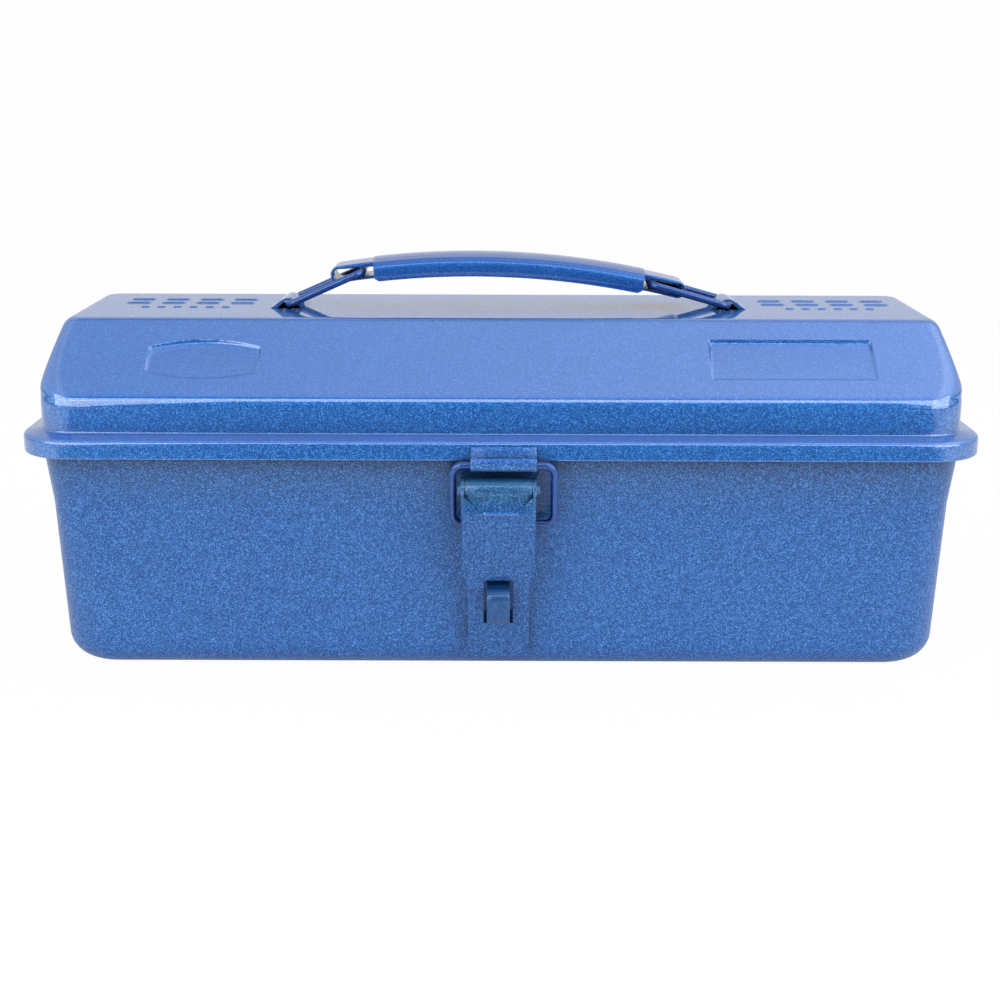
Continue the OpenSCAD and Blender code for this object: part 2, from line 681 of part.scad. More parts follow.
module latch_lever() color(paint) translate([latch_x, 0, 0]) lever_sheet();
module lever_sheet() {
    bend = [lever_face_y, bend_z];
    flange_end = [lever_face(flange_end_z + 1), flange_end_z + 1];
    difference() {
        union() {
            lever_shoulders();
            intersection() {
                along_x(-lever_w / 2, lever_w / 2) lever_sheet_outline();
                translate([0, -rim_hd / 2, 0]) rotate([90, 0, 0])
                    linear_extrude(rim_hd) lever_front_outline();
            }
            for (s = [-1, 1]) {
                x = s > 0 ? lever_w / 2 - lever_t : -lever_w / 2;
                along_x(x, x + lever_t) lever_flange_outline();
            }
            for (s = [-1, 1]) {
                cheek_t = (lever_w - hood_w) / 2 + 0.3;
                x = s > 0 ? lever_w / 2 - cheek_t : -lever_w / 2;
                along_x(x, x + cheek_t) hood_cheek();
            }
        }
        fold_cutter(flange_end, bend + (bend - flange_end) / 20);
        fold_cutter(bend - [0, 1], [lever_face_y, shoulder_z + 1]);
        translate([-slot_w / 2, -rim_hd - 15, slot_z - slot_h / 2])
            cube([slot_w, 20, slot_h]);
    }
}

// A short step of sheet that joins the hood to the flange beside it
module hood_cheek() {
    difference() {
        translate(pin_c) circle(hood_r - 0.25);
        translate(pin_c) circle(d = pin_d + 2 * pin_gap);
    }
}

// Bail: a closed wire ring whose lower bar turns in the lever's flanges
module latch_bail() color(paint) {
    translate([keeper_x, bail_low_c[0], bail_low_c[1]]) rotate([bail_lean, 0, 0])
        rotate([0, -90, 90]) wire_ring(bail_len, bail_w - bail_wire_d, bail_bend_r, bail_wire_d);
}

// Staple: a bent strap welded to the wall, its loop standing out through the slot
module padlock_staple() color(paint_deep) {
    top = slot_z + slot_h / 2 - 2.4 - staple_t / 2;
    low = slot_z - slot_h / 2 + 2 + staple_t / 2;
    out = -wall_face(slot_z) - staple_out + staple_t / 2;
    bend = 3;
    foot = 5;
    h = staple_t / 2;
    path = concat(
        [for (z = [top + foot, top]) [-wall_face(z) - h / cos(wall_lean(z)), z]],
        arc([out + bend, top - bend], bend, 90, 180, 4),
        arc([out + bend, low + bend], bend, 180, 270, 4),
        [for (z = [low, low - foot]) [-wall_face(z) - h / cos(wall_lean(z)), z]]);
    along_x(latch_x - staple_w / 2, latch_x + staple_w / 2) polygon(strip(path, staple_t));
}

// Hinges: five knuckles on one pin, three on the body's leaf and two on the lid's
knuckle_count = 5;
knuckle_gap = 0.4;
module knuckles(first, gap = knuckle_gap) {
    pitch = hinge_len / knuckle_count;
    for (i = [first:2:knuckle_count - 1]) {
        x = -hinge_len / 2 + i * pitch + gap / 2;
        along_x(x, x + pitch - gap) children();
    }
}

module hinge_bore() {
    along_x(-hinge_len, hinge_len) translate(hinge_c) circle(d = hinge_pin_d + 2 * pin_gap);
}

module hinge_body_leaf() {
    t = leaf_t;
    reach_z = hinge_c[1] - hinge_r + t / 2;
    bend_z = reach_z - 3;
    difference() {
        union() {
            along_x(-hinge_len / 2, hinge_len / 2) mirror([1, 0])
                wall_sheet([hinge_rivet_z - 6.5, bend_z + 0.4], t);
            knuckles(0) {
                translate(hinge_c) circle(hinge_r);
                polygon(strip([[wall_face(bend_z) + t / 2 + 0.1, bend_z],
                    [hinge_c[0], reach_z]], t));
            }
        }
        hinge_bore();
        translate([hinge_x, 0, 0]) hinge_rivet_places() cylinder(r = rivet_r, h = 6, center = true);
    }
}

module hinge_lid_leaf() {
    t = leaf_t;
    plate = [[rim_hd + t / 2, parting_z + skirt_h - 0.6], [rim_hd + t / 2, parting_z + 1.2]];
    difference() {
        union() {
            difference() {
                along_x(-hinge_len / 2, hinge_len / 2) polygon(strip(plate, t));
                knuckles(0, 0) translate(hinge_c) circle(hinge_r + sheet_gap);
            }
            knuckles(1) {
                translate(hinge_c) circle(hinge_r);
                polygon([[rim_hd, parting_z + 3], [rim_hd, parting_z + 1.2],
                    [hinge_c[0], hinge_c[1]], [hinge_c[0], hinge_c[1] + hinge_r]]);
            }
        }
        hinge_bore();
    }
}

module hinge_pin() {
    translate([0, hinge_c[0], hinge_c[1]]) {
        rod_x(-hinge_len / 2 - 0.8, hinge_len / 2 + 0.8, hinge_pin_d);
        for (s = [-1, 1]) translate([s * (hinge_len / 2 + 0.3), 0, 0]) rotate([0, s * 90, 0])
            cylinder(r = hinge_pin_d / 2 + 0.6, h = 0.8);
    }
}

module hinge_rivet_places() {
    for (h = [-1, 1], s = [-1, 1]) mirror([0, 1, 0])
        on_front_wall(h * hinge_x + s * 12, hinge_rivet_z) children();
}

module hinge_body_leaf_left() color(paint) translate([-hinge_x, 0, 0]) hinge_body_leaf();
module hinge_body_leaf_right() color(paint) translate([hinge_x, 0, 0]) hinge_body_leaf();
module hinge_lid_leaf_left() color(paint) translate([-hinge_x, 0, 0]) hinge_lid_leaf();
module hinge_lid_leaf_right() color(paint) translate([hinge_x, 0, 0]) hinge_lid_leaf();
module hinge_pin_left() color(steel) translate([-hinge_x, 0, 0]) hinge_pin();
module hinge_pin_right() color(steel) translate([hinge_x, 0, 0]) hinge_pin();
module hinge_rivets() color(paint_deep) hinge_rivet_places() rivet(leaf_t);

body_shell();
lid_shell();
handle_grip();
handle_link_left();
handle_link_right();
latch_keeper();
latch_base();
latch_rivets();
latch_pin();
latch_lever();
latch_bail();
padlock_staple();
hinge_body_leaf_left();
hinge_body_leaf_right();
hinge_lid_leaf_left();
hinge_lid_leaf_right();
hinge_pin_left();
hinge_pin_right();
hinge_rivets();
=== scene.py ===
# %% [markdown]
# # A small steel toolbox, dressed for its portrait
# The real thing is a box of pressed steel sheet: a body with a rolled top edge, a lid with
# four sloping faces, a channel-shaped carrying handle on two wire links, and a toggle latch
# with a wire bail. All of it is sprayed in one blue metallic enamel. The joints and the
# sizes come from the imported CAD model, which this lesson only dresses.

import math

import bmesh
import bpy
from mathutils import Matrix, Vector


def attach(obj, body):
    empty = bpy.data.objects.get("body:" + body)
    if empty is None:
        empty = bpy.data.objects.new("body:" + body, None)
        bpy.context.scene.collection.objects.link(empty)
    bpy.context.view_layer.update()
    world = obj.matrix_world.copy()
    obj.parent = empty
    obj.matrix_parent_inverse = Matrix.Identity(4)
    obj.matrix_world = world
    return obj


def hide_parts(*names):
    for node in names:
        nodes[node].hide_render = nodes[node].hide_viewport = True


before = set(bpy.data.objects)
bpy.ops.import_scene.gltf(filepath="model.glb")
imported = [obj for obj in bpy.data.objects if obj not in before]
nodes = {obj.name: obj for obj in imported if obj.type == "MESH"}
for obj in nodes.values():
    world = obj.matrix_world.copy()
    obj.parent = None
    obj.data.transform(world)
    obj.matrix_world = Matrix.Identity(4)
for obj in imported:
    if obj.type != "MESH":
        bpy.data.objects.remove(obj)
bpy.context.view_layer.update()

# %% [markdown]
# ## The camera
# The box was photographed from its front, a little above the lid. A camera could be turned
# at the box with a Track To constraint; a matrix says the same thing with no helper. It was
# found by matching the corners of lid and body to the photograph: the near rim and the far
# edge of the roof fix the height, the two ends fix the small roll. Cameras from 55 to 73 cm
# away match almost equally well, each with its own depth of the roof. The one used here
# stands at 66 cm, because the roof was taken to be 70 mm deep.

# %% Camera
STAND = (-0.0003, -0.6564, 0.2248)
PITCH, ROLL = math.radians(75.08), 0.0032
SENSOR, LENS = 36, 58.88

camera = bpy.data.objects.new("camera", bpy.data.cameras.new("camera"))
bpy.context.scene.collection.objects.link(camera)
camera.data.sensor_width = SENSOR
camera.data.lens = LENS
camera.matrix_world = (
    Matrix.Translation(STAND) @ Matrix.Rotation(PITCH, 4, "X") @ Matrix.Rotation(ROLL, 4, "Z")
)
bpy.context.scene.camera = camera
bpy.context.scene.view_settings.view_transform = "Standard"
print("camera at", [round(v, 4) for v in camera.location], "lens", camera.data.lens)

# %% [markdown]
# ## Shader maths as plain expressions
# A material is a small calculation that runs at every point of a surface. Its nodes can be
# wired by hand, but a formula is easier to read, so this class wraps a socket and lets
# `1 - mask * 0.4` add the Math nodes itself. Colours are mixed with a Mix node, since a
# Math node would turn a colour grey.

# %% A socket that can be calculated with
class Value:
    """The output of a node, with the arithmetic that the finishes need."""

    def __init__(self, sheet, socket):
        self.sheet, self.socket = sheet, socket

    def _math(self, operation, a, b):
        return self.sheet.node("ShaderNodeMath", {"operation": operation}, {0: a, 1: b})

    def __add__(self, other):
        return self._math("ADD", self, other)

    def __sub__(self, other):
        return self._math("SUBTRACT", self, other)

    def __mul__(self, other):
        return self._math("MULTIPLY", self, other)

    def __rsub__(self, other):
        return self._math("SUBTRACT", other, self)

    __radd__ = __add__
    __rmul__ = __mul__

    def larger(self, other):
        return self._math("MAXIMUM", self, other)

    def size(self):
        """The value without its sign."""
        return self.sheet.node("ShaderNodeMath", {"operation": "ABSOLUTE"}, {0: self})

    def ramp(self, low, high, to_low=0.0, to_high=1.0):
        """Maps low..high to to_low..to_high smoothly, and holds the ends."""
        return self.sheet.node(
            "ShaderNodeMapRange",
            {"interpolation_type": "SMOOTHSTEP"},
            {
                "Value": self,
                "From Min": low, "From Max": high,
                "To Min": to_low, "To Max": to_high,
            },
        )


class Finish:
    """One material: a Principled shader and the nodes that feed it."""

    def __init__(self, name, **fixed):
        self.material = bpy.data.materials.new(name)
        self.material.use_nodes = True
        self.tree = self.material.node_tree
        self.shader = self.tree.nodes["Principled BSDF"]
        self.output = self.tree.nodes["Material Output"]
        for key, value in fixed.items():
            socket = key.replace("_", " ").title().replace("Ior", "IOR")
            self.shader.inputs[socket].default_value = value
        self.place = self.node("ShaderNodeTexCoord", out="Object")
        self.normal = Value(self, self.place.socket.node.outputs["Normal"])

    def node(self, kind, settings=None, inputs=None, out=0):
        """Adds a node: its settings first, then the values or links of its sockets."""
        made = self.tree.nodes.new(kind)
        for key, value in (settings or {}).items():
            setattr(made, key, value)
        for key, value in (inputs or {}).items():
            if isinstance(value, Value):
                self.tree.links.new(value.socket, made.inputs[key])
            else:
                made.inputs[key].default_value = value
        return Value(self, made.outputs[out])

    def part(self, vector, axis):
        """One part of a place or a direction: 0 is x, 1 is y, 2 is z."""
        return self.node("ShaderNodeSeparateXYZ", None, {"Vector": vector}, out=axis)

    def mix(self, mask, a, b):
        """Colour a where mask is 0, colour b where it is 1."""
        return self.node("ShaderNodeMix", {"data_type": "RGBA"}, {0: mask, 6: a, 7: b}, out=2)

    def noise(self, scale, detail=2.0, roughness=0.5):
        return self.node(
            "ShaderNodeTexNoise",
            None,
            {"Vector": self.place, "Scale": scale, "Detail": detail, "Roughness": roughness},
        )

    def cells(self, scale):
        """A colour of its own for every cell."""
        return self.node("ShaderNodeTexVoronoi", None, {"Vector": self.place, "Scale": scale}, out="Color")

    def bump(self, height, depth, strength=1.0, under=None):
        given = {"Height": height, "Distance": depth, "Strength": strength}
        if under is not None:
            given["Normal"] = under
        return self.node("ShaderNodeBump", None, given)

    def feed(self, **links):
        """Links calculated values to the shader's sockets."""
        for socket, value in links.items():
            self.tree.links.new(value.socket, self.shader.inputs[socket.replace("_", " ")])
        return self


print("finishes can now be written as formulas")

# %% [markdown]
# ## The blue enamel
# The paint is a metallic enamel: a deep blue with fine aluminium flakes in it, each about
# 0.3 mm across, under a glossy skin that is slightly wavy, as sprayed paint is. A plain
# colour with gloss would look like plastic, so several things are layered here. A noise
# drifts the blue from patch to patch. A fine Voronoi pattern gives every cell its own grey
# value: the brightest cells become pale flakes and the darkest ones shadows between them.
# Two bumps, one coarse for the orange peel and one fine for the flake, tilt the gloss.
#
# A face that looks up mirrors the bright ceiling, and its gloss hides the flakes, so they
# fade with the upward part of the normal. The ceiling is also why the lid's skin has a far
# higher index of refraction than real lacquer has: that keeps its leaning faces as pale as
# in the photograph. Where other sheet stands close by, the blue is darkened as painted
# shade: round the latch, under the skirt and inside the eyelets, but not where the foot
# stands on the floor. A part may change its tone with height: the body's upper wall turns
# a greyer blue, painted shade under the lid, and the head of the lever a greener blue than
# its tongue, a painted reflection of the dark it faces.


# %% Enamel
# cells of grain to a metre; the reach of the painted corner shade and the depths of the bumps in metres
GRAIN_CELLS = 3300
FLAKE_LOOKING_UP = 0.4
PEEL_DEPTH, GRAIN_DEPTH = 0.00003, 0.000012
CORNER_REACH = 0.012


def enamel(name, deep, pale, flake, gloss, coat, metal, skin=0.06, ior=1.6, tinted=None):
    """A metallic enamel from deep to pale blue; flake is how strongly its specks show.

    tinted is (low, high, colour): the tone turns to that colour from low to high up.
    """
    paint = Finish(
        name, coat_weight=coat, coat_roughness=skin, coat_ior=ior, metallic=metal,
        specular_ior_level=0.25,
    )
    flake = paint.part(paint.normal, 2).ramp(0.25, 0.65, 1.0, FLAKE_LOOKING_UP) * flake
    drift = paint.noise(14, 3).ramp(0.3, 0.7)
    speck = paint.node("ShaderNodeSeparateColor", None, {"Color": paint.cells(GRAIN_CELLS)}, out=0)
    glint = speck.ramp(0.6, 0.98)
    dark = speck.ramp(0.05, 0.45, 1.0, 0.0)
    base = paint.mix(drift * 0.35, deep, pale)
    light = [min(1.0, c * 1.6 + more) for c, more in zip(pale, (0.1, 0.2, 0.3))] + [1]
    shade = [c * 0.25 for c in deep[:3]] + [1]
    height = paint.part(paint.place, 2)
    if tinted:
        low, high, tint = tinted
        base = paint.mix(height.ramp(low, high) * 0.85, base, tint)
    colour = paint.mix(glint * flake, base, light)
    colour = paint.mix(dark * flake, colour, shade)
    # painted shade: the blue darkens where other sheet stands close by, but not at the foot on the floor
    open_air = paint.node(
        "ShaderNodeAmbientOcclusion", {"samples": 6}, {"Distance": CORNER_REACH}, out=1
    )
    painted_corner_shade = open_air.ramp(0.3, 0.82, 0.85, 0.0) * height.ramp(0.0, 0.02)
    colour = paint.mix(painted_corner_shade, colour, shade)
    wave = paint.bump(paint.noise(260, 2), PEEL_DEPTH)
    bumpy = paint.bump(speck, GRAIN_DEPTH, 0.5, wave)
    rough = paint.noise(40, 3).ramp(0.3, 0.7, gloss - 0.04, gloss + 0.05) + glint * -0.08
    paint.feed(Base_Color=colour, Roughness=rough, Normal=bumpy)
    print("finish", name, "roughness about", gloss)
    return paint.material


# %% The seven blues
PAINTED_REFLECTION_TEAL, PAINTED_SHADE_BLUE, SKIRT_BLUE = (0.014, 0.1, 0.22, 1), (0.026, 0.075, 0.19, 1), (0.005, 0.09, 0.4, 1)

lid_enamel = enamel(
    "lid_enamel", (0.005, 0.13, 0.5, 1), (0.009, 0.165, 0.575, 1),
    flake=0.68, gloss=0.58, coat=0.9, metal=0.8, skin=0.05, ior=2.15,
)
# the body's upper wall turns to a duller, greyer blue: painted shade under the lid's rim
body_enamel = enamel(
    "body_enamel", (0.006, 0.08, 0.3, 1), (0.01, 0.105, 0.355, 1),
    flake=0.6, gloss=0.55, coat=0.5, metal=0.15, skin=0.14, tinted=(0.06, 0.09, PAINTED_SHADE_BLUE),
)
# the lever's head turns to a darker, greener blue: a painted reflection of the dark it faces
latch_enamel = enamel(
    "latch_enamel", (0.005, 0.07, 0.265, 1), (0.009, 0.094, 0.325, 1),
    flake=0.6, gloss=0.42, coat=0.5, metal=0.3, skin=0.12, tinted=(0.0675, 0.071, PAINTED_REFLECTION_TEAL),
)
keeper_enamel = enamel(
    "keeper_enamel", (0.03, 0.12, 0.33, 1), (0.045, 0.155, 0.39, 1),
    flake=0.6, gloss=0.45, coat=0.2, metal=0.15, skin=0.12, tinted=(0.0836, 0.0846, SKIRT_BLUE),
)
staple_enamel = enamel(
    "staple_enamel", (0.006, 0.058, 0.2, 1), (0.01, 0.08, 0.25, 1),
    flake=0.25, gloss=0.4, coat=0.5, metal=0.25,
)
wire_enamel = enamel(
    "wire_enamel", (0.005, 0.055, 0.26, 1), (0.01, 0.08, 0.33, 1),
    flake=0.3, gloss=0.3, coat=0.8, metal=0.5,
)
grip_enamel = enamel(
    "grip_enamel", (0.008, 0.105, 0.42, 1), (0.014, 0.135, 0.49, 1),
    flake=0.35, gloss=0.5, coat=0.85, metal=0.8,
)

# %% [markdown]
# ## Pins with worn paint
# The pins were painted with the rest, but their ends and the hinge wire rub bare. The
# finish mixes the enamel's blue with grey steel where a noise says that the paint has gone.

# %% Pin finish
pin_finish = Finish("pin_enamel", coat_weight=0.3, coat_roughness=0.1)
worn = pin_finish.noise(420, 4, 0.7).ramp(0.55, 0.68)
pin_tone = pin_finish.mix(worn, (0.05, 0.14, 0.34, 1), (0.5, 0.52, 0.55, 1))
pin_finish.feed(
    Base_Color=pin_tone,
    Metallic=worn * 0.9 + 0.1,
    Roughness=pin_finish.noise(300, 3).ramp(0.3, 0.7, 0.26, 0.42),
    Normal=pin_finish.bump(pin_finish.noise(900, 3), 0.00002, 0.6),
)
pin_enamel = pin_finish.material
print("finish pin_enamel")

# %% [markdown]
# ## Sheet metal as rings
# The lid and the body were drawn from flat sheet over a punch, so every bend is round and
# every level of them is a rectangle with round corners. Such a shell could be a box with
# bevels and a solidify modifier. Rings are truer: a section of [half width, half depth,
# corner radius, height] steps gives one ring of points each, and neighbouring rings are
# bridged with faces. The inside is the same section drawn one sheet thickness further in.

# %% Arcs, rings and lofts
MM = 0.001
CORNER_STEPS = 14


def arc(centre, radius, start, end, steps):
    """Points on an arc in degrees, as (across, up) pairs."""
    angles = [math.radians(start + (end - start) * i / steps) for i in range(steps + 1)]
    return [(centre[0] + radius * math.cos(a), centre[1] + radius * math.sin(a)) for a in angles]


def front_columns(spans, coarse=14.0, fine=0.8):
    """Places across the front, close together in each span (middle, half width)."""
    places = {round(-150 + coarse * i, 2) for i in range(int(300 / coarse) + 1)}
    for middle, half in spans:
        places = {x for x in places if abs(x - middle) > half + 2}
        count = int(2 * (half - 1) / fine)
        places |= {round(middle - half + 1 + 2 * (half - 1) * i / count, 2) for i in range(count + 1)}
        for edge in (-1, 1):
            places |= {round(middle + edge * (half + d), 2) for d in (-0.65, -0.3, 0, 0.3, 1.2)}
    return sorted(places)


def ring(half_w, half_d, corner, z, front=(-120, -80, -40, 0, 40, 80, 120)):
    """A rectangle with round corners at height z, as points in millimetres."""
    points = []
    share = (-0.66, -0.33, 0.0, 0.33, 0.66)
    for turn, (sx, sy) in enumerate(((1, 1), (-1, 1), (-1, -1), (1, -1))):
        for i in range(CORNER_STEPS + 1):
            a = math.radians(90 * (turn + i / CORNER_STEPS))
            points.append((
                sx * (half_w - corner) + corner * math.cos(a),
                sy * (half_d - corner) + corner * math.sin(a),
                z,
            ))
        if turn == 2:
            points += [(x, -half_d, z) for x in front]
        elif turn == 0:
            points += [(-x, half_d, z) for x in front]
        else:
            points += [(sx * half_w, -sy * k * (half_d - corner), z) for k in share]
    return points


def loft(rings):
    """A bmesh of rings bridged in order."""
    made = bmesh.new()
    rows = [[made.verts.new([c * MM for c in p]) for p in points] for points in rings]
    for low, high in zip(rows, rows[1:]):
        for i in range(len(low)):
            j = (i + 1) % len(low)
            made.faces.new((low[i], low[j], high[j], high[i]))
    return made, rows


def piece(name, made, body, material, smooth=35):
    """Turns a bmesh into a named piece that rides on its body."""
    bmesh.ops.recalc_face_normals(made, faces=made.faces)
    mesh = bpy.data.meshes.new(name)
    made.to_mesh(mesh)
    made.free()
    shown = bpy.data.objects.new(name, mesh)
    bpy.context.scene.collection.objects.link(shown)
    mesh.materials.append(material)
    mesh.polygons.foreach_set("use_smooth", [True] * len(mesh.polygons))
    mesh.set_sharp_from_angle(angle=math.radians(smooth))
    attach(shown, body)
    print("piece", name, "with", len(mesh.polygons), "faces on", body)
    return shown


print("each corner has", CORNER_STEPS, "steps")

# %% [markdown]
# ## The section of the lid
# From the top down: a flat roof, a small bend, four leaning faces (gentle slopes at the
# front and the back, steep ones at the ends), a second bend into an upright band, a hollow
# fillet, a nearly flat flange, and a skirt that closes over the body. A leaning face is a
# straight line between two arcs, so one function gives its half size at any height, and
# the four hips come out of it by themselves.

# %% Lid section
# how far beside a bend a ring keeps its shading off the flat sheet
HOLD, RIM_HOLD = 1.2, 0.12
LID_W, LID_D, LID_CORNER = 172.5, 68.0, 15.0
ROOF_Z, PARTING_Z, SHEET = 130.8, 84.5, 1.0
BAND_IN, BAND_Z, ROOF_HALF, ROOF_CORNER = 7.0, 105.7, 35.0, 5.0
FILLET_R, SKIRT_R, FLANGE_TILT = 0.8, 1.8, 11
SLOPE = math.atan2(ROOF_Z - BAND_Z, LID_D - ROOF_HALF)
skirt_bend = (5.2, 90.0)
tilt = math.radians(FLANGE_TILT)
flange_out = (skirt_bend[0] + SKIRT_R * math.sin(tilt), skirt_bend[1] + SKIRT_R * math.cos(tilt))
fillet = (FILLET_R, flange_out[1] + (flange_out[0] - FILLET_R) * math.tan(tilt) + FILLET_R / math.cos(tilt))


class Leaning:
    """A face of the lid that leans in from its foot to the roof, with a bend at each end."""

    def __init__(self, half, foot_z, lean, top_r, foot_r):
        self.half, self.foot_z, self.lean, self.top_r, self.foot_r = half, foot_z, lean, top_r, foot_r
        run = half - (ROOF_Z - foot_z) * math.tan(lean)
        self.top = (run - top_r * math.tan((math.pi / 2 - lean) / 2), ROOF_Z - top_r)
        self.foot = (half - foot_r, foot_z - foot_r * math.tan(lean / 2))

    def at(self, z, e):
        """Half size at height z, e further in than the outside."""
        r_top, r_foot = self.top_r - e, self.foot_r - e
        if z > self.top[1] + r_top * math.sin(self.lean):
            return self.top[0] + math.sqrt(max(0, r_top ** 2 - (z - self.top[1]) ** 2))
        if z > self.foot[1] + r_foot * math.sin(self.lean):
            return self.half - (z - self.foot_z) * math.tan(self.lean) - e / math.cos(self.lean)
        if z > self.foot[1]:
            return self.foot[0] + math.sqrt(max(0, r_foot ** 2 - (z - self.foot[1]) ** 2))
        return self.half - e


END_Z, END_LEANS_IN = 109.2, 5.5
front_face = Leaning(LID_D, BAND_Z, math.pi / 2 - SLOPE, top_r=6.0, foot_r=7.0)
end_face = Leaning(LID_W, END_Z, math.atan2(END_LEANS_IN, ROOF_Z - END_Z), top_r=4.0, foot_r=12.0)


def lid_corner(z):
    """Corner radius: small on the hips, full at the band."""
    return ROOF_CORNER + (LID_CORNER - ROOF_CORNER) * min(1, (ROOF_Z - z) / (ROOF_Z - BAND_Z)) ** 3


def slope_z(up):
    """Height of the place that is up millimetres up the front slope from its middle."""
    return (ROOF_Z + BAND_Z) / 2 + up * math.sin(SLOPE)


def lid_rings(e, rows):
    """Rings from the rim of the flat roof down to the skirt, e further in."""
    rings = []
    for d in (3, HOLD):
        corner = max(ROOF_CORNER - e - d, 1)
        rings.append((end_face.top[0] - d, front_face.top[0] - d, corner, ROOF_Z - e))
    heights = [p[1] for p in arc(end_face.top, end_face.top_r - e, 90, 15, 10)]
    heights += [heights[-1] - 0.8] + rows
    swing = (end_face.foot_r - e) * math.sin(end_face.lean)
    heights += [end_face.foot[1] + k * swing for k in (1.1, 0.8, 0.5)]
    bend = [p[1] for p in arc(front_face.foot, front_face.foot_r - e, 90 - math.degrees(SLOPE), 0, 8)]
    heights += [bend[0] + 0.4] + bend
    for z in heights:
        rings.append((end_face.at(z, e), front_face.at(z, e), lid_corner(z) - e, z))
    outward = [(-e, bend[-1] - HOLD), (-e, fillet[1] + HOLD)]
    outward += arc(fillet, FILLET_R + e, 180, 270 - FLANGE_TILT, 6)
    outward += arc(skirt_bend, SKIRT_R - e, 90 - FLANGE_TILT, 0, 6)
    outward.append((BAND_IN - e, skirt_bend[1] - HOLD))
    for p in outward:
        rings.append((LID_W + p[0], LID_D + p[0], LID_CORNER + p[0], p[1]))
    return rings


print("the front leans", round(math.degrees(front_face.lean), 1), "degrees from upright")
print("the ends lean", round(math.degrees(end_face.lean), 1), "degrees from upright")

# %% [markdown]
# ## Pressed panels
# Two panels are pressed into the front slope, a barrel-sided one and a long one. Each is
# deepest at its upper edge and runs out almost level at its lower edge, so only the upper
# edge draws a strong line: a sharp step, which is dark, and a soft foot under it, which
# catches the light. A bump map could draw such a line but would not change the mesh, so the
# sheet itself dips: its rings carry extra points there, close together, and each point
# sinks by what this recipe says.

# %% Panels
# middle, shift up, half width, half height and bow of each panel
PANELS = ((-111.5, -0.5, 21.2, 10.0, 3.5), (109.0, 0.0, 31.0, 10.2, 0.0))
LEAST_DEEP, MORE_DEEP = 0.28, 1.5
STEP_W, STEP_SHARE, SOFT_FOOT_W, SOFT_EDGE_W = 0.75, 0.6, 1.9, 0.9
# the rows of points down the slope: from where, how far apart and how many
ROWS = ((10.9, 0.3, 19), (4.9, 1.0, 11), (-5.8, 0.4, 14))


def ease(value, width):
    k = min(1.0, max(0.0, value / width))
    return k * k * (3 - 2 * k)


def dip(x, up):
    """How deep the slope is pressed in at x, up millimetres up from its middle."""
    for middle, shift, half_w, half_h, bow in PANELS:
        side = half_w - abs(x - middle)
        edge = half_h - bow * ((x - middle) / half_w) ** 2
        over, under = edge - (up - shift), edge + (up - shift)
        if side > 0 and over > 0 and under > 0:
            deep = LEAST_DEEP + MORE_DEEP * (0.5 + 0.5 * (up - shift) / half_h) ** 1.5
            step = STEP_SHARE * min(1.0, over / STEP_W)
            step += (1 - STEP_SHARE) * min(1.0, max(0.0, (over - STEP_W) / SOFT_FOOT_W))
            return deep * ease(side, SOFT_EDGE_W) * step * ease(under, SOFT_EDGE_W)
    return 0.0


def press(point):
    """Moves a point of the front slope in by the depth of the panel there."""
    x, y, z = point
    up = (z - slope_z(0)) / math.sin(SLOPE)
    on_front = y < 0
    if not on_front or abs(up) > ROWS[0][0] + 0.6:
        return point
    deep = dip(x, up)
    return (x, y + deep * math.sin(SLOPE), z - deep * math.cos(SLOPE))


columns = front_columns([(p[0], p[2]) for p in PANELS])
fine_rows = [slope_z(start - step * i) for start, step, count in ROWS for i in range(count)]
coarse_rows = [slope_z(ROWS[0][0] - 2.0 * i) for i in range(11)]
print(len(columns), "columns and", len(fine_rows), "rows for the panels")

# %% [markdown]
# ## The lid's sheet
# Outside and inside sections are joined at the skirt by a half-round edge, as a sheared and
# tumbled edge is. A ring close above that edge keeps its shading off the flat skirt. The
# flat roof is filled last, because it has two holes in it: under each eyelet the sheet was
# slit and pressed up, so one can look through into the box.


# %% Lid sheet
def rim(half_w, half_d, corner, across, z, thickness, steps=6):
    """The half-round edge of a sheet that ends at height z."""
    middle = (across - thickness / 2, z + thickness / 2)
    turn = [(across, middle[1] + RIM_HOLD)] + arc(middle, thickness / 2, 0, -180, steps)
    turn.append((across - thickness, middle[1] + RIM_HOLD))
    return [(half_w + p[0], half_d + p[0], corner + p[0], p[1]) for p in turn]


def fill_flat(made, row, holes, z):
    """Fills the flat inside a ring of points, and leaves the holes open."""
    edges = [made.edges.get((row[i], row[(i + 1) % len(row)])) for i in range(len(row))]
    rims = []
    for x0, y0, x1, y1 in holes:
        corners = [(x0, y0), (x1, y0), (x1, y1), (x0, y1)]
        found = [made.verts.new((x * MM, y * MM, z * MM)) for x, y in corners]
        edges += [made.edges.new((found[i], found[(i + 1) % 4])) for i in range(4)]
        rims.append(found)
    bmesh.ops.triangle_fill(made, use_beauty=True, edges=edges)
    return rims


EYELETS = (-84.6, 90.0)
EYELET_LEN, HOLE_HALF_W, HOLE_SPARE = 17.0, 4.4, 0.4
half_len = EYELET_LEN / 2 + HOLE_SPARE
holes = [(x - HOLE_HALF_W, -half_len, x + HOLE_HALF_W, half_len) for x in EYELETS]
shell = lid_rings(0, fine_rows) + rim(LID_W, LID_D, LID_CORNER, BAND_IN, PARTING_Z, SHEET)
shell += lid_rings(SHEET, coarse_rows)[::-1]
made, rows = loft([[press(p) for p in ring(*level, columns)] for level in shell])
upper = fill_flat(made, rows[0], holes, ROOF_Z)
lower = fill_flat(made, rows[-1], holes, ROOF_Z - SHEET)
for top, under in zip(upper, lower):
    for i in range(4):
        j = (i + 1) % 4
        made.faces.new((top[i], top[j], under[j], under[i]))
lid_sheet = piece("lid_sheet", made, "lid", lid_enamel)
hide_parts("lid_shell")

